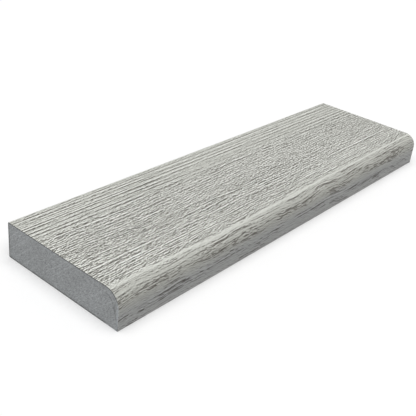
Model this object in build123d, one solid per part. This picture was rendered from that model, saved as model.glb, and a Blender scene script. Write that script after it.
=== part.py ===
"""Bullnose trim board: a moulded mineral-resin composite board with one rounded front edge.

Frame: +X along the length, -Y towards the nosing, +Z up. The origin is the middle of the underside.
The board is one moulding, sawn square at both ends, so it is one solid: a single section run along its length.
"""

import os

from build123d import *

# Driving dimensions, in millimetres
length = 450.0                # sawn length
width = 125.0                 # nosing face to back edge
thickness = 32.0              # underside to top face
nose_radius = 13.0            # quarter round from the top face down into the nosing face
back_arris_radius = 1.5       # eased top edge at the back, where the next board butts
underside_arris_radius = 0.6  # eased edges along the underside


def board_section():
    """The cross-section, with the width across and the height up, standing on its underside."""
    half = width / 2
    corner_rounds = [
        (-half, thickness, nose_radius),
        (half, thickness, back_arris_radius),
        (half, 0, underside_arris_radius),
        (-half, 0, underside_arris_radius),
    ]
    section = Rectangle(width, thickness, align=(Align.CENTER, Align.MIN))
    for across, up, radius in corner_rounds:
        corner = section.vertices().sort_by_distance((across, up, 0))[0]
        section = fillet(corner, radius)
    return Plane.YZ * section


def bullnose_board():
    """The section run equally to both ends, sawn square."""
    return extrude(board_section(), amount=length / 2, both=True)


os.makedirs("parts", exist_ok=True)
export_step(bullnose_board(), "parts/bullnose_board.step")
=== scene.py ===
import math

import bmesh
import bpy
import numpy as np
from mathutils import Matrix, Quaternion, Vector, noise


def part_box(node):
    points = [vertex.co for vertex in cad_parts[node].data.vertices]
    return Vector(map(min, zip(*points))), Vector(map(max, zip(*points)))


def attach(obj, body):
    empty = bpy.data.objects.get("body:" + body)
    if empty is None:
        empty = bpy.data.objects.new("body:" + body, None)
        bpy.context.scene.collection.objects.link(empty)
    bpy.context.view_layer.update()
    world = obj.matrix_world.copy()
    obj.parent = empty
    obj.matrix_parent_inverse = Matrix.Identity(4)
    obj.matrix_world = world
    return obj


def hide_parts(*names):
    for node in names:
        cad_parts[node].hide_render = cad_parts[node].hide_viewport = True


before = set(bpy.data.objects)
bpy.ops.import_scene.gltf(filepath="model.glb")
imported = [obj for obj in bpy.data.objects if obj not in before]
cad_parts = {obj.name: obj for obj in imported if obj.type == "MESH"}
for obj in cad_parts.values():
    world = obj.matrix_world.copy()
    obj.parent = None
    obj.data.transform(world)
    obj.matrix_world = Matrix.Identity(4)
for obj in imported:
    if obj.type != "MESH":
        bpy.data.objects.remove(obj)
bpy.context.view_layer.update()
mm = 0.001
scene = bpy.context.scene
scene.view_settings.view_transform = "Standard"


# the board

boardShape = {
    "noseRadius": 13 * mm,
    "backArris": 1.5 * mm,
    "undersideArris": 0.6 * mm,
    "noseSegments": 60,
    "topStep": 0.28 * mm,     # spacing of the points across the embossed top
    "frontStep": 0.42 * mm,   # and down the front face
    "lengthStep": 2.7 * mm,   # and along the board, where the grain runs
    "hair": 0.01 * mm,        # closeness that counts as lying on a face
}

lowCorner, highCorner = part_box("bullnose_board")
boardLength = highCorner[0] - lowCorner[0]
boardWidth = highCorner[1] - lowCorner[1]
boardHeight = highCorner[2] - lowCorner[2]
noseRadius = boardShape["noseRadius"]
noseCentre = Vector((0, lowCorner[1] + noseRadius, highCorner[2] - noseRadius))
topSpan = boardWidth - noseRadius             # back edge to the start of the curve
noseSpan = noseRadius * math.pi / 2
frontSpan = boardHeight - noseRadius
skinSpan = topSpan + noseSpan + frontSpan     # back edge, over the nosing, to the lower edge

grain = {
    "seed": 11,
    "depth": 0.45 * mm,         # ridge to groove
    "alongStep": 1.0 * mm,      # spacing of the drawn grain
    "acrossStep": 0.14 * mm,
    "sways": [(150, 60, 2.6), (48, 26, 1.3), (16, 9, 0.35)],  # along, across, sideways, all in mm
    "noseSway": (40, 15, 2.4),  # and on the nosing
    "backWidth": 38 * mm,       # straight-grained strip along the back
    "brokenEnd": 135 * mm,      # length in which the straight grain is broken into shorter runs
    # a few bold lines, from and to, along and across, in mm
    "boldLines": [(27, 98, 56, 99), (86, 62, 110, 64), (132, 75, 209, 81), (169, 84, 197, 86),
                  (200, 86, 259, 88), (216, 110, 236, 111), (275, 111, 320, 111), (346, 50, 396, 52)],
    # the smooth strip where the nosing starts to turn: along the board, its place past the start
    # of the curve and half its width, all in mm
    "bandAlong": (0, 60, 110, 160, 240, 300, 450),
    "bandPlace": (2.3, 3.2, 5.2, 5.0, 3.6, 3.2, 3.0),
    "bandHalf": (1.1, 1.2, 1.3, 1.4, 1.3, 1.1, 0.9),
    "bandCalm": 0.65,           # how much the strip flattens the grain, and how far it stands up, which also paints it paler: partly its own smooth surface, partly painted highlight
    "bandRiseAndHighlight": 0.33,
    "noseCalm": 0.7,            # how much flatter the grain is beyond the strip
    "noseShadeDrops": [(0.08, 1, 4), (0.18, 6, 12)],  # painted shade on the nosing past the strip, set as a slight drop of the skin: how much, from and to in mm
    "noseShadeEnd": (26, 14),        # where the painted shade and the drop end, in mm past the start of the curve
    # how strongly the fine flecks show, across the skin from the back edge in mm
    "roughAcross": (0, 4, 30, 44, 100, 111, 118, 132, 140, 151),
    "roughness": (0.3, 0.35, 0.4, 0.95, 1.0, 0.9, 0.22, 0.17, 0.2, 0.2),
    # how thickly the dark pores lie, past the start of the curve in mm
    "poreAcross": (3, 9, 12, 16, 20, 23, 25, 28, 31, 34, 39),
    "poreShare": (0, 0.12, 0.34, 0.64, 0.5, 0.16, 0.24, 0.44, 0.24, 0.12, 0.12),
    "poreGroups": (38, 5, 1.2),           # how they gather: along and across in mm, and how strongly
    "poreGain": ((200, 300), (0, 0.16)),  # more towards the far end: along in mm, and how many
    "poreMost": 0.8,
    "underPlace": (3.6, 1.5),   # a line of more pores, in mm below the smooth strip, and its width
    "underShare": 0.45,
    "endFade": (6 * mm, 0.25),  # how far from a sawn end the grain flattens, and the share left there
    "backFade": (0.3 * mm, 3 * mm),   # where the grain starts at the back edge
    "lowerFade": 2 * mm,        # and where it stops above the lower edge
}


def smooth(low, high, value):
    t = np.clip((value - low) / (high - low), 0, 1)
    return t * t * (3 - 2 * t)


def ripple(along, across, alongSize, acrossSize, layer):
    return noise.noise(Vector((along / alongSize, across / acrossSize, layer + 0.37 * grain["seed"])))


class Skin:
    # the grain drawn flat: one row for each step along the board, one column for each step across its skin
    def __init__(self):
        self.along = np.arange(0, boardLength + 2 * grain["alongStep"], grain["alongStep"])
        self.across = np.arange(0, skinSpan + 2 * grain["acrossStep"], grain["acrossStep"])
        self.relief = np.zeros((len(self.along), len(self.across)))
        self.dice = np.random.RandomState(grain["seed"])

    def sway(self, x, s):
        # how far a line of grain has wandered sideways; the back strip stays straight
        loose = 0.25 + 0.75 * float(smooth(0.7 * grain["backWidth"], 1.3 * grain["backWidth"], s))
        wander = loose * sum(size * mm * ripple(x, s, along * mm, across * mm, 10 * i)
                             for i, (along, across, size) in enumerate(grain["sways"]))
        onNose = float(smooth(topSpan + 3 * mm, topSpan + 8 * mm, s))
        along, across, size = grain["noseSway"]
        return wander + onNose * size * mm * ripple(x, s, along * mm, across * mm, 57)

    def stroke(self, x, s, half, width, strength, lean=0.0):
        # one groove that follows the grain, with a raised lip on both sides
        rows = np.arange(max(0, int((x - half) / grain["alongStep"])),
                         min(len(self.along), int((x + half) / grain["alongStep"]) + 2))
        reach = 4 * width
        home = self.sway(x, s)
        drift = max(1, len(rows) // 6)
        knots = list(rows[::drift]) + [rows[-1]] if len(rows) else []
        if not knots:
            return
        centres = np.interp(rows, knots, [s + self.sway(self.along[k], s) - home for k in knots])
        centres += lean * (self.along[rows] - x)
        first = max(0, int((centres.min() - reach) / grain["acrossStep"]))
        last = min(len(self.across), int((centres.max() + reach) / grain["acrossStep"]) + 1)
        if last <= first:
            return
        away = ((self.across[None, first:last] - centres[:, None]) / width) ** 2
        shape = np.exp(-away / 2) * (1 - away)
        fade = np.clip(1 - ((self.along[rows] - x) / half) ** 2, 0, 1) ** 0.7
        self.relief[rows[0]:rows[-1] + 1, first:last] += strength * shape * fade[:, None]

    def rows(self, low, high, pitch, halves, gaps, widths, strengths, jitter=0.4, start=0, stop=None):
        # broken lines of strokes, one row beside the next; sizes in mm
        dice = self.dice
        s = low
        while s < high:
            x = start + dice.uniform(-30, 0) * mm
            while x < (stop or boardLength):
                half = math.exp(dice.uniform(math.log(halves[0]), math.log(halves[1]))) * mm
                place = s + dice.normal(0, jitter) * mm
                width, strength = dice.uniform(*widths) * mm, dice.uniform(*strengths)
                if x + half > start:
                    self.stroke(x + half, place, half, width, strength)
                x += 2 * half + dice.uniform(*gaps) * mm
            s += pitch * mm * dice.uniform(0.75, 1.25)

    def evenOut(self, along, across):
        # takes out patches larger than the given size, so that the grain stays even all over
        patches = self.relief
        for axis, count in ((0, round(along / grain["alongStep"])), (1, round(across / grain["acrossStep"]))):
            window = np.hanning(2 * count + 3)[1:-1]
            window /= window.sum()
            edges = [(count, count) if a == axis else (0, 0) for a in (0, 1)]
            padded = np.pad(patches, edges, mode="edge")
            patches = np.apply_along_axis(np.convolve, axis, padded, window, "valid")
        self.relief = self.relief - patches

    def at(self, field, x, s):
        i, j = x / grain["alongStep"], s / grain["acrossStep"]
        i0, j0 = min(int(i), len(self.along) - 2), min(int(j), len(self.across) - 2)
        u, v = i - i0, j - j0
        near = field[i0, j0] * (1 - v) + field[i0, j0 + 1] * v
        far = field[i0 + 1, j0] * (1 - v) + field[i0 + 1, j0 + 1] * v
        return float(near * (1 - u) + far * u)


def drawGrain():
    skin = Skin()
    back, broken = grain["backWidth"], grain["brokenEnd"]
    # long even grooves along the back, broken up near the left end
    skin.rows(5 * mm, back + 3 * mm, pitch=4.1, halves=(14, 40), gaps=(-5, 3), widths=(0.7, 0.95),
              strengths=(0.75, 1.45), jitter=0.3, stop=0.7 * broken)
    skin.rows(5 * mm, back + 3 * mm, pitch=4.8, halves=(22, 70), gaps=(-12, 4), widths=(0.95, 1.3),
              strengths=(0.5, 1.2), jitter=0.4, start=broken)
    skin.rows(7 * mm, back, pitch=4.1, halves=(4, 14), gaps=(2, 14), widths=(0.4, 0.55),
              strengths=(-0.3, 0.6), jitter=0.8)
    # pale ridges towards the far end
    skin.rows(8 * mm, 1.2 * back, pitch=8, halves=(18, 60), gaps=(5, 40), widths=(1.1, 1.6),
              strengths=(-0.6, -0.2), jitter=1, start=130 * mm)
    skin.rows(1.2 * back, topSpan, pitch=8, halves=(8, 30), gaps=(10, 50), widths=(0.9, 1.4),
              strengths=(-0.7, -0.3), jitter=2, start=200 * mm)
    # broken flecks over the middle, and longer ones towards the nosing
    skin.rows(back, topSpan, pitch=2.9, halves=(5, 18), gaps=(0, 12), widths=(0.36, 0.48),
              strengths=(0.3, 1.2), jitter=0.6, stop=200 * mm)
    skin.rows(back, topSpan, pitch=3.1, halves=(5, 20), gaps=(0, 12), widths=(0.42, 0.56),
              strengths=(0.35, 1.15), jitter=0.6, start=190 * mm)
    skin.rows(0.62 * topSpan, topSpan, pitch=4.5, halves=(6, 22), gaps=(1, 14), widths=(0.42, 0.6),
              strengths=(0.4, 1.1), jitter=1)
    skin.rows(0.9 * back, 0.95 * topSpan, pitch=9, halves=(12, 34), gaps=(15, 90), widths=(0.5, 0.7),
              strengths=(0.5, 1.1), jitter=3)
    # each bold line is a groove with a ridge beside it
    for x0, s0, x1, s1 in grain["boldLines"]:
        x, s = (x0 + x1) / 2 * mm, (s0 + s1) / 2 * mm
        half, lean = (x1 - x0) / 2 * mm, (s1 - s0) / (x1 - x0)
        skin.stroke(x, s, half, width=0.6 * mm, strength=1.2, lean=lean)
        skin.stroke(x - 3 * mm, s - 1.6 * mm, half, width=0.8 * mm, strength=-1.1, lean=lean)
    skin.evenOut(12 * mm, 4 * mm)
    # the smooth strip, with no bold flecks beyond it
    along = mm * np.array(grain["bandAlong"])
    waver = np.array([(ripple(x, 0, 22 * mm, mm, 31), ripple(x, 0, 15 * mm, mm, 37)) for x in skin.along])
    place = topSpan + mm * (np.interp(skin.along, along, grain["bandPlace"]) + 0.9 * waver[:, 0])[:, None]
    half = mm * (np.interp(skin.along, along, grain["bandHalf"]) * (1 + 0.5 * waver[:, 1]))[:, None]
    past = skin.across[None, :] - place
    skin.band = np.exp(-(past / half) ** 4)
    skin.beyond = smooth(0.5 * mm, 3 * mm, past)
    below, wide = grain["underPlace"]
    skin.under = np.exp(-((past - below * mm) / (wide * mm)) ** 2)
    skin.relief *= 1 - grain["bandCalm"] * skin.band
    skin.relief *= 1 - grain["noseCalm"] * smooth(0, 5 * mm, past)
    # the raised strip is painted paler through the colour ramp: partly its smooth surface, partly painted
    # highlight
    skin.relief -= grain["bandRiseAndHighlight"] * skin.band
    # painted shade: lowering the nosing past the strip also darkens it through the colour ramp
    noseShade = sum(depth * smooth(low * mm, high * mm, past) for depth, low, high in grain["noseShadeDrops"])
    skin.relief += noseShade * smooth(*[end * mm for end in grain["noseShadeEnd"]], skin.across - topSpan)[None, :]
    # the plain strip at the back arris
    skin.relief *= smooth(1 * mm, 5 * mm, skin.across)[None, :]
    skin.relief -= 0.02 * (1 - smooth(2 * mm, 5 * mm, skin.across))[None, :]
    return skin


def poresAt(x, s, across, share):
    # how thickly the thin dark pores lie: in groups that follow the grain, fewer down the front face
    along, aside, strength = grain["poreGroups"]
    grouped = share + strength * ripple(x, across, along * mm, aside * mm, 71)
    grouped += np.interp(s - topSpan, [place * mm for place in grain["poreAcross"]], grain["poreShare"])
    places, more = grain["poreGain"]
    grouped += np.interp(x, [place * mm for place in places], more)
    return float(np.clip(grouped, 0, grain["poreMost"]))


def straightCuts(bm, inside, step):
    # cuts the longest edge that passes the test into even steps
    edge = max((e for e in bm.edges if all(inside(v.co) for v in e.verts)), key=lambda e: e.calc_length())
    bmesh.ops.subdivide_edges(bm, edges=[edge], cuts=round(edge.calc_length() / step) - 1)


def skinPlace(point):
    # distance across the skin from the back edge, and the outward direction there
    if point.y >= noseCentre.y:
        return highCorner[1] - point.y, Vector((0, 0, 1))
    if point.z >= noseCentre.z:
        out = Vector((0, point.y - noseCentre.y, point.z - noseCentre.z)).normalized()
        return topSpan + noseRadius * math.atan2(-out.y, out.z), out
    return topSpan + noseSpan + noseCentre.z - point.z, Vector((0, -1, 0))


def embossedBoard(skin):
    bm = bmesh.new()
    outline = ((lowCorner[1], lowCorner[2]), (highCorner[1], lowCorner[2]),
               (highCorner[1], highCorner[2]), (lowCorner[1], highCorner[2]))
    corners = [bm.verts.new((lowCorner[0], y, z)) for y, z in outline]
    bm.faces.new(corners)
    rounds = ((boardShape["undersideArris"], 2), (boardShape["undersideArris"], 2),
              (boardShape["backArris"], 4), (noseRadius, boardShape["noseSegments"]))
    for corner, (radius, segments) in zip(corners, rounds):
        bmesh.ops.bevel(bm, geom=[corner], offset=radius, offset_type="OFFSET", segments=segments,
                        profile=0.5, affect="VERTICES", material=-1)
    hair = boardShape["hair"]
    straightCuts(bm, lambda p: p.z > highCorner[2] - hair, boardShape["topStep"])
    straightCuts(bm, lambda p: p.y < lowCorner[1] + hair, boardShape["frontStep"])
    # run the section to the far end, then cut the length
    grown = bmesh.ops.extrude_face_region(bm, geom=bm.faces[:])["geom"]
    farEnd = [g for g in grown if isinstance(g, bmesh.types.BMVert)]
    bmesh.ops.translate(bm, verts=farEnd, vec=(boardLength, 0, 0))
    runs = [e for e in bm.edges if e.calc_length() > 0.99 * boardLength]
    bmesh.ops.subdivide_edges(bm, edges=runs, cuts=round(boardLength / boardShape["lengthStep"]) - 1)
    bmesh.ops.recalc_face_normals(bm, faces=bm.faces[:])
    sawn, plain = 1, 2    # finishes, in the order they are added to the board
    squarely = 0.9        # how straight a face looks out
    for face in bm.faces:
        isEnd = abs(face.normal.x) > squarely
        if isEnd:
            face.material_index = sawn
            for edge in face.edges:
                edge.smooth = False
        elif face.normal.y > squarely or face.normal.z < -squarely:
            face.material_index = plain
        face.smooth = not isEnd
    # press the grain in, fading out at the back arris and the lower edge
    grooves = bm.verts.layers.float.new("groove")
    pores = bm.verts.layers.float.new("pores")
    acrosses = bm.verts.layers.float.new("across")
    roughs = bm.verts.layers.float.new("rough")
    zones = [place * mm for place in grain["roughAcross"]]
    endFade, endShare = grain["endFade"]
    for vert in bm.verts:
        point = vert.co
        if point.z < boardShape["undersideArris"] or point.y > highCorner[1] - grain["backFade"][0]:
            vert[grooves] = 0.5
            continue
        s, out = skinPlace(point)
        x = point.x - lowCorner[0]
        groove = 0.5 + 0.5 * skin.at(skin.relief, x, s)
        fade = float(smooth(*grain["backFade"], s) * smooth(0, grain["lowerFade"], skinSpan - s))
        fromEnd = min(x, boardLength - x)
        pressed = 0.5 + (groove - 0.5) * float(np.interp(fromEnd, (0, endFade), (endShare, 1)))
        vert[grooves] = groove
        across = s - skin.sway(x, s)
        vert[acrosses] = across
        share = grain["underShare"] * skin.at(skin.under, x, s)
        vert[pores] = poresAt(x, s, across, share) * skin.at(skin.beyond, x, s)
        vert[roughs] = float(np.interp(s, zones, grain["roughness"])) * (1 - 0.7 * skin.at(skin.band, x, s))
        vert.co = point - out * grain["depth"] * min(max(pressed, 0), 1) * fade
    mesh = bpy.data.meshes.new("embossedBoard")
    bm.to_mesh(mesh)
    bm.free()
    board = bpy.data.objects.new("embossedBoard", mesh)
    scene.collection.objects.link(board)
    return board


# finishes

def nodeMaterial(name):
    material = bpy.data.materials.new(name)
    material.use_nodes = True
    tree = material.node_tree
    return material, tree, tree.nodes["Principled BSDF"]


def addNode(tree, kind, inputs=(), **settings):
    # inputs: socket name or number to a value or another node's socket
    node = tree.nodes.new(kind)
    for key, value in settings.items():
        setattr(node, key, value)
    for key, value in dict(inputs).items():
        if isinstance(value, bpy.types.NodeSocket):
            tree.links.new(value, node.inputs[key])
        else:
            node.inputs[key].default_value = value
    return node


def mathNode(tree, operation, *values):
    return addNode(tree, "ShaderNodeMath", dict(enumerate(values)), operation=operation).outputs[0]


def mixColour(tree, factor, first, second, blend="MIX"):
    inputs = {0: factor, 6: first, 7: second}
    return addNode(tree, "ShaderNodeMix", inputs, data_type="RGBA", blend_type=blend).outputs[2]


def tinted(tree, amount, colour, tint):
    # the colour darkened or cooled by a tint, where the amount is above 0
    return mixColour(tree, amount, colour, mixColour(tree, 1.0, colour, tint, "MULTIPLY"))


def toned(tree, colour, tone):
    # the colour made lighter or darker by a grey level
    grey = addNode(tree, "ShaderNodeCombineColor", {0: tone, 1: tone, 2: tone}).outputs[0]
    return mixColour(tree, 1.0, colour, grey, "MULTIPLY")


def stretched(tree, scale):
    place = addNode(tree, "ShaderNodeTexCoord").outputs["Object"]
    return addNode(tree, "ShaderNodeMapping", {"Vector": place, "Scale": scale}).outputs[0]


def noiseNode(tree, vector, scale, detail=2.0, rough=0.5):
    inputs = {"Vector": vector, "Scale": scale, "Detail": detail, "Roughness": rough}
    return addNode(tree, "ShaderNodeTexNoise", inputs).outputs["Fac"]


def spread(tree, value, fromLow, fromHigh, toLow, toHigh, way="LINEAR"):
    inputs = {0: value, 1: fromLow, 2: fromHigh, 3: toLow, 4: toHigh}
    return addNode(tree, "ShaderNodeMapRange", inputs, interpolation_type=way).outputs[0]


def addBump(tree, shader, height, strength, distance, invert=False):
    inputs = {"Height": height, "Strength": strength, "Distance": distance}
    bump = addNode(tree, "ShaderNodeBump", inputs, invert=invert)
    tree.links.new(bump.outputs[0], shader.inputs["Normal"])


skinLook = {
    # colours along the relief, ridge to groove: partly the board's own darker grooves, partly painted light
    # on the ridges and painted shade in the grooves
    "ridge": (0.855, 0.865, 0.82, 1),
    "middle": (0.515, 0.52, 0.479, 1),
    "groove": (0.09, 0.084, 0.072, 1),
    "stain": (0.075, 0.064, 0.053, 1),
    "face": (0.745, 0.748, 0.795, 1),    # painted shade, cooler and darker, down the front face
    "frontShadeTurn": (3 * mm, -6 * mm),       # where the painted shade comes in, above the centre of the nosing
    # thin broken lines: pitch, width and run in mm, gap and strength
    "lines": [(2.4, 0.36, 3.2, 0.43, 0.85), (3.1, 0.4, 5, 0.44, 0.85), (4.3, 0.48, 10, 0.46, 0.8)],
    "pores": [(1.8, 0.3, 4), (2.7, 0.44, 7), (4.3, 0.54, 12)],   # pitch, width and run
    "poreGap": (0.8, 0.28),              # where there are no pores, and where they lie thickest
    # how much paler the lips beside the pores are painted: a painted highlight
    "poreLip": 0.28,
    "grit": [(1.7, 0.85, 1.2), (3.4, 1.4, 0.7)],                 # length, width and strength
    "stipple": (1.1, 0.7, 0.36),
    "patches": (0.3, 22),                # stretch and fineness of the faint clouding
}


def grainLines(tree, x, across, pitch, width, run, gap, layer):
    # thin broken lines along the grain: above 0 on a line, below 0 on the lips beside it, which are painted
    # paler as a painted highlight
    phase = mathNode(tree, "ADD", mathNode(tree, "DIVIDE", across, pitch * mm), 0.31 * layer)
    row = mathNode(tree, "FLOOR", phase)
    chance = {"W": mathNode(tree, "ADD", row, 50.5 * layer)}
    lot = addNode(tree, "ShaderNodeTexWhiteNoise", chance, noise_dimensions="1D")
    aside, ahead, _ = addNode(tree, "ShaderNodeSeparateColor", {0: lot.outputs["Color"]}).outputs
    ahead = mathNode(tree, "MULTIPLY", ahead, 90.0)
    place = addNode(tree, "ShaderNodeCombineXYZ", {
        0: mathNode(tree, "ADD", mathNode(tree, "DIVIDE", x, run * mm), ahead),
        1: mathNode(tree, "MULTIPLY", row, 7.71)}).outputs[0]
    inputs = {"Vector": place, "Scale": 1.0, "Detail": 1.0}
    breaks = addNode(tree, "ShaderNodeTexNoise", inputs, noise_dimensions="2D")
    _, wander, _ = addNode(tree, "ShaderNodeSeparateColor", {0: breaks.outputs["Color"]}).outputs
    middle = mathNode(tree, "ADD", spread(tree, aside, 0, 1, 0.3, 0.7),
                      spread(tree, wander, 0.2, 0.8, -0.15, 0.15))
    away = mathNode(tree, "ABSOLUTE", mathNode(tree, "SUBTRACT", mathNode(tree, "FRACT", phase), middle))
    away = mathNode(tree, "MULTIPLY", away, pitch / width)
    core = spread(tree, away, 1.5, 0.4, 0, 1, "SMOOTHSTEP")
    lip = mathNode(tree, "MULTIPLY", spread(tree, away, 1.0, 1.8, 0, 0.4, "SMOOTHSTEP"),
                   spread(tree, away, 3.6, 2.2, 0, 1, "SMOOTHSTEP"))
    past = mathNode(tree, "SUBTRACT", breaks.outputs["Fac"], gap)
    shown = spread(tree, past, 0, 0.1, 0, 1, "SMOOTHSTEP")
    return [mathNode(tree, "MULTIPLY", shown, part) for part in (core, lip)]


def stippleNode(tree, x, across, length, width, strength):
    # short straight dabs along the grain, each lighter or darker by chance
    row = mathNode(tree, "FLOOR", mathNode(tree, "DIVIDE", across, width * mm))
    ahead = addNode(tree, "ShaderNodeTexWhiteNoise", {"W": row}, noise_dimensions="1D").outputs["Value"]
    run = mathNode(tree, "DIVIDE", x, length * mm)
    run = mathNode(tree, "ADD", run, mathNode(tree, "MULTIPLY", ahead, 9.0))
    cell = addNode(tree, "ShaderNodeCombineXYZ", {0: mathNode(tree, "FLOOR", run), 1: row}).outputs[0]
    dab = addNode(tree, "ShaderNodeTexWhiteNoise", {"Vector": cell}, noise_dimensions="2D").outputs["Value"]
    return spread(tree, dab, 0, 1, -strength, strength)


def gritNode(tree, x, across, length, width, strength):
    # soft dashes with no broad patches: each spot is measured against its two neighbours across the grain
    total = None
    for shift, share in ((0, 1), (0.8, -0.5), (-0.8, -0.5)):
        beside = mathNode(tree, "ADD", across, shift * width * mm)
        place = addNode(tree, "ShaderNodeCombineXYZ", {
            0: mathNode(tree, "DIVIDE", x, length * mm),
            1: mathNode(tree, "DIVIDE", beside, width * mm)}).outputs[0]
        inputs = {"Vector": place, "Scale": 1.0, "Detail": 0.0}
        spot = addNode(tree, "ShaderNodeTexNoise", inputs, noise_dimensions="2D")
        part = mathNode(tree, "MULTIPLY", spot.outputs["Fac"], share * strength)
        total = part if total is None else mathNode(tree, "ADD", total, part)
    return total


def embossedSkin():
    material, tree, shader = nodeMaterial("embossedSkin")
    groove, pores, rough, across = [addNode(tree, "ShaderNodeAttribute", attribute_name=name).outputs["Fac"]
                                    for name in ("groove", "pores", "rough", "across")]
    place = addNode(tree, "ShaderNodeTexCoord").outputs["Object"]
    x, _, up = addNode(tree, "ShaderNodeSeparateXYZ", {0: place}).outputs[:3]
    stipple = stippleNode(tree, x, across, *skinLook["stipple"])
    parts = [stipple] + [gritNode(tree, x, across, *grit) for grit in skinLook["grit"]]
    for layer, (pitch, width, run, gap, strength) in enumerate(skinLook["lines"]):
        core, lip = grainLines(tree, x, across, pitch, width, run, gap, layer + 1)
        # each line darkens the skin, and the lips beside it are painted paler as a painted highlight
        parts.append(mathNode(tree, "MULTIPLY", mathNode(tree, "SUBTRACT", core, lip), strength))
    fine = parts[0]
    for part in parts[1:]:
        fine = mathNode(tree, "ADD", fine, part)
    fine = mathNode(tree, "MULTIPLY", fine, rough)
    poreGap = spread(tree, pores, 0, 1, *skinLook["poreGap"])
    stain = 0.0
    for layer, pore in enumerate(skinLook["pores"]):
        core, lip = grainLines(tree, x, across, *pore, poreGap, layer + 5)
        stain = mathNode(tree, "MAXIMUM", stain, core)
        # painted highlight: the lips beside the pores made paler
        fine = mathNode(tree, "SUBTRACT", fine, mathNode(tree, "MULTIPLY", lip, skinLook["poreLip"]))
    # the relief turned into colour: ridges painted paler and grooves darker, partly their own colour, partly
    # painted light and painted shade
    pressed = mathNode(tree, "ADD", groove, fine)
    ramp = addNode(tree, "ShaderNodeValToRGB", {0: pressed})
    ramp.color_ramp.elements[0].color = skinLook["ridge"]
    ramp.color_ramp.elements[1].color = skinLook["groove"]
    ramp.color_ramp.elements.new(0.5).color = skinLook["middle"]
    stain = mathNode(tree, "MULTIPLY", stain, spread(tree, stipple, -0.3, 0.3, 0.75, 1))
    colour = mixColour(tree, stain, ramp.outputs[0], skinLook["stain"])
    # painted shade: the front face and the lower nosing tinted cooler and darker
    frontShadeTurn = [noseCentre.z + height for height in skinLook["frontShadeTurn"]]
    colour = tinted(tree, spread(tree, up, *frontShadeTurn, 0, 1), colour, skinLook["face"])
    stretch, fineness = skinLook["patches"]
    patches = noiseNode(tree, stretched(tree, (stretch, 1, 1)), fineness)
    colour = toned(tree, colour, spread(tree, patches, 0.3, 0.7, 0.95, 1.03))
    tree.links.new(colour, shader.inputs["Base Color"])
    tree.links.new(spread(tree, pressed, 0, 1, 0.6, 0.85), shader.inputs["Roughness"])
    shader.inputs["Specular IOR Level"].default_value = 0.35
    addBump(tree, shader, fine, 0.08, 0.2 * mm, invert=True)
    return material


sawnLook = {
    "core": (0.345, 0.357, 0.362, 1),
    "pale": (0.38, 0.394, 0.402, 1),
    "rim": (0.45, 0.45, 0.44, 1),       # darkened edge all round, but for the front
    "rimWidth": 1.5 * mm,
    "skin": (1.2, 1.215, 1.24, 1),     # thin paler skin down the front, below the turn of the nosing
    "skinDepth": 2.2 * mm,
    "skinTop": (26 * mm, 21 * mm),
    "seam": (0.62, 0.62, 0.615, 1),     # broken dark line inside the nosing
    "seamHeight": (4 * mm, 24 * mm),
    "seamDepth": (0.8 * mm, 6.4 * mm),
    "hatchTurn": 42.0,                  # lean of the saw marks, degrees
    "hatch": (0.17, 2000),              # stretch and fineness of the short marks
    "scratch": (0.03, 800),             # and of the long ones
    "grit": 1700,
    "cloud": 60,
    "waver": (330, 0.9 * mm),           # fineness and reach of the seam's waver
    "breaks": 260,                      # fineness of the gaps in it
}


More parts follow.
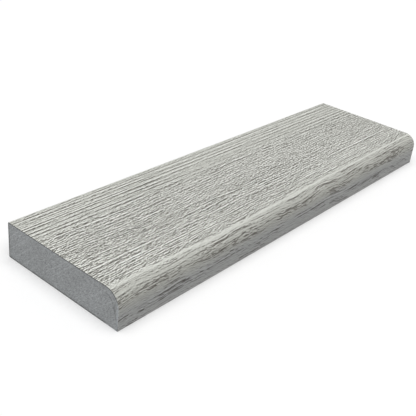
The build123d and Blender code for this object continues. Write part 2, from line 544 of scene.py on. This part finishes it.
def sawnEnd():
    material, tree, shader = nodeMaterial("sawnEnd")
    place = addNode(tree, "ShaderNodeTexCoord").outputs["Object"]
    _, y, z = addNode(tree, "ShaderNodeSeparateXYZ", {0: place}).outputs[:3]
    # depth below the top, the nosing and the front face
    inFront = mathNode(tree, "SUBTRACT", noseCentre.y, y)
    inTop = mathNode(tree, "SUBTRACT", z, noseCentre.z)
    reach = [mathNode(tree, "MAXIMUM", side, 0.0) for side in (inFront, inTop)]
    bend = mathNode(tree, "SQRT", mathNode(tree, "ADD", *[mathNode(tree, "MULTIPLY", r, r) for r in reach]))
    flat = mathNode(tree, "MINIMUM", mathNode(tree, "MAXIMUM", inFront, inTop), 0.0)
    depth = mathNode(tree, "SUBTRACT", noseRadius, mathNode(tree, "ADD", bend, flat))
    nearest = mathNode(tree, "MINIMUM", depth, mathNode(tree, "SUBTRACT", highCorner[1], y))
    nearest = mathNode(tree, "MINIMUM", nearest, z)
    # saw marks and clouding
    turn = (math.radians(sawnLook["hatchTurn"]), 0, 0)
    turned = addNode(tree, "ShaderNodeMapping", {"Vector": place, "Rotation": turn}).outputs[0]
    marks = []
    for stretch, fineness in (sawnLook["hatch"], sawnLook["scratch"]):
        drawn = addNode(tree, "ShaderNodeMapping", {"Vector": turned, "Scale": (1, stretch, 1)}).outputs[0]
        marks.append(noiseNode(tree, drawn, fineness, 0.0))
    hatch, scratch = marks
    grit = noiseNode(tree, place, sawnLook["grit"], 1)
    cloud = noiseNode(tree, place, sawnLook["cloud"], 3)
    colour = mixColour(tree, spread(tree, cloud, 0.35, 0.7, 0, 1), sawnLook["core"], sawnLook["pale"])
    # the skin down the front, and the wavering, broken seam inside the nosing
    fineness, sway = sawnLook["waver"]
    waver = spread(tree, noiseNode(tree, place, fineness), 0.2, 0.8, -sway, sway)
    seamDepth = mathNode(tree, "ADD", spread(tree, z, *sawnLook["seamHeight"], *sawnLook["seamDepth"]), waver)
    past = mathNode(tree, "SUBTRACT", depth, seamDepth)
    atNose = spread(tree, y, noseCentre.y + 1 * mm, noseCentre.y - 2 * mm, 0, 1)
    atFront = mathNode(tree, "MULTIPLY", atNose, spread(tree, z, *sawnLook["skinTop"], 0, 1))
    skinDepth = mathNode(tree, "ADD", depth, mathNode(tree, "MULTIPLY", waver, 0.5))
    deep, blur = sawnLook["skinDepth"], 0.4 * mm
    inSkin = mathNode(tree, "MULTIPLY", spread(tree, skinDepth, deep + blur, deep - blur, 0, 1), atFront)
    colour = tinted(tree, inSkin, colour, sawnLook["skin"])
    onSeam = spread(tree, mathNode(tree, "ABSOLUTE", past), 0.9 * mm, 0.2 * mm, 0, 1)
    broken = spread(tree, noiseNode(tree, place, sawnLook["breaks"], 1), 0.38, 0.5, 0, 1)
    onSeam = mathNode(tree, "MULTIPLY", mathNode(tree, "MULTIPLY", onSeam, broken), atNose)
    colour = tinted(tree, onSeam, colour, sawnLook["seam"])
    atRim = spread(tree, nearest, sawnLook["rimWidth"], 0.7 * mm, 0, 1)
    atRim = mathNode(tree, "MULTIPLY", atRim, mathNode(tree, "SUBTRACT", 1.0, atFront))
    colour = tinted(tree, atRim, colour, sawnLook["rim"])
    tone = spread(tree, hatch, 0.25, 0.75, 0.78, 1.24)
    tone = mathNode(tree, "ADD", tone, spread(tree, grit, 0.28, 0.72, -0.3, 0.3))
    tone = mathNode(tree, "ADD", tone, spread(tree, scratch, 0.62, 0.74, 0, 0.2))
    tree.links.new(toned(tree, colour, tone), shader.inputs["Base Color"])
    shader.inputs["Roughness"].default_value = 0.85
    shader.inputs["Specular IOR Level"].default_value = 0.25
    addBump(tree, shader, hatch, 0.2, 0.1 * mm)
    return material


plainLook = {
    "base": (0.44, 0.445, 0.42, 1),
    "patch": (0.37, 0.375, 0.36, 1),
    "cloud": (0.4, 30, 4),       # stretch along the board, fineness and detail of the patches
    "specks": (0.7, 500, 3),
    "lines": (0.02, 420, 2),     # faint lines along the run of the board
}


def plainMoulding():
    # the back and the underside, straight from the mould
    material, tree, shader = nodeMaterial("plainMoulding")
    cloud, specks, drawn = [noiseNode(tree, stretched(tree, (stretch, 1, 1)), fineness, detail, 0.6)
                            for stretch, fineness, detail in map(plainLook.get, ("cloud", "specks", "lines"))]
    colour = mixColour(tree, spread(tree, cloud, 0.35, 0.65, 0, 1), plainLook["base"], plainLook["patch"])
    tone = spread(tree, drawn, 0.3, 0.7, 0.93, 1.07)
    tone = mathNode(tree, "ADD", tone, spread(tree, specks, 0.3, 0.7, -0.06, 0.06))
    tree.links.new(toned(tree, colour, tone), shader.inputs["Base Color"])
    tree.links.new(spread(tree, specks, 0.3, 0.7, 0.6, 0.8), shader.inputs["Roughness"])
    shader.inputs["Specular IOR Level"].default_value = 0.35
    addBump(tree, shader, specks, 0.3, 0.1 * mm)
    return material


board = embossedBoard(drawGrain())
for finish in (embossedSkin(), sawnEnd(), plainMoulding()):
    board.data.materials.append(finish)
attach(board, "root")
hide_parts("bullnose_board")
print("board embossed,", len(board.data.polygons), "faces")


# floor, light and camera

stageLook = {
    "floorSize": 12.0,
    "floorSeen": (1.0, 1.0, 1.0, 1),     # as the camera sees it, before the shadow
    "floorBounce": (0.62, 0.62, 0.62, 1),
    "ambient": 0.35,
    "sunStrength": 2.15,
    "sunSpread": 70.0,                   # degrees, wide enough for a soft shadow
    "sunTurn": (8.0, -10.0, 0.0),
}


def seenDirectly(tree):
    path = addNode(tree, "ShaderNodeLightPath")
    seen = mathNode(tree, "MAXIMUM", path.outputs["Is Camera Ray"], path.outputs["Is Glossy Ray"])
    return mathNode(tree, "MAXIMUM", seen, path.outputs["Is Transmission Ray"])


def paleFloor():
    bm = bmesh.new()
    bmesh.ops.create_grid(bm, x_segments=1, y_segments=1, size=stageLook["floorSize"] / 2)
    mesh = bpy.data.meshes.new("paleFloor")
    bm.to_mesh(mesh)
    bm.free()
    floor = bpy.data.objects.new("paleFloor", mesh)
    scene.collection.objects.link(floor)
    material, tree, shader = nodeMaterial("paleFloor")
    colour = mixColour(tree, seenDirectly(tree), stageLook["floorBounce"], stageLook["floorSeen"])
    tree.links.new(colour, shader.inputs["Base Color"])
    shader.inputs["Roughness"].default_value = 1.0
    shader.inputs["Specular IOR Level"].default_value = 0.0
    mesh.materials.append(material)


def softLight():
    world = bpy.data.worlds.new("studio")
    world.use_nodes = True
    scene.world = world
    tree = world.node_tree
    background = tree.nodes["Background"]
    background.inputs["Color"].default_value = (1, 1, 1, 1)
    level = spread(tree, seenDirectly(tree), 0, 1, stageLook["ambient"], 1.0)
    tree.links.new(level, background.inputs["Strength"])
    sun = bpy.data.objects.new("softSun", bpy.data.lights.new("softSun", "SUN"))
    sun.data.energy = stageLook["sunStrength"]
    sun.data.angle = math.radians(stageLook["sunSpread"])
    sun.rotation_euler = [math.radians(turn) for turn in stageLook["sunTurn"]]
    scene.collection.objects.link(sun)


cameraPlace = {
    "target": (-63.0 * mm, -3.75 * mm, 16 * mm),
    "distance": 624.5 * mm,
    "heading": 37.64,       # degrees from +X towards +Y
    "height": 28.66,        # degrees above the floor
    "roll": 6.59,
    "lens": 60.83,
}


def photoCamera():
    camera = bpy.data.objects.new("photoCamera", bpy.data.cameras.new("photoCamera"))
    camera.data.sensor_width = 36
    camera.data.lens = cameraPlace["lens"]
    heading, height = math.radians(cameraPlace["heading"]), math.radians(cameraPlace["height"])
    level = math.cos(height)
    look = Vector((level * math.cos(heading), level * math.sin(heading), -math.sin(height)))
    camera.location = Vector(cameraPlace["target"]) - look * cameraPlace["distance"]
    turn = look.to_track_quat("-Z", "Y") @ Quaternion((0, 0, 1), math.radians(cameraPlace["roll"]))
    camera.rotation_euler = turn.to_euler()
    scene.collection.objects.link(camera)
    scene.camera = camera


paleFloor()
softLight()
photoCamera()
print("stage set")
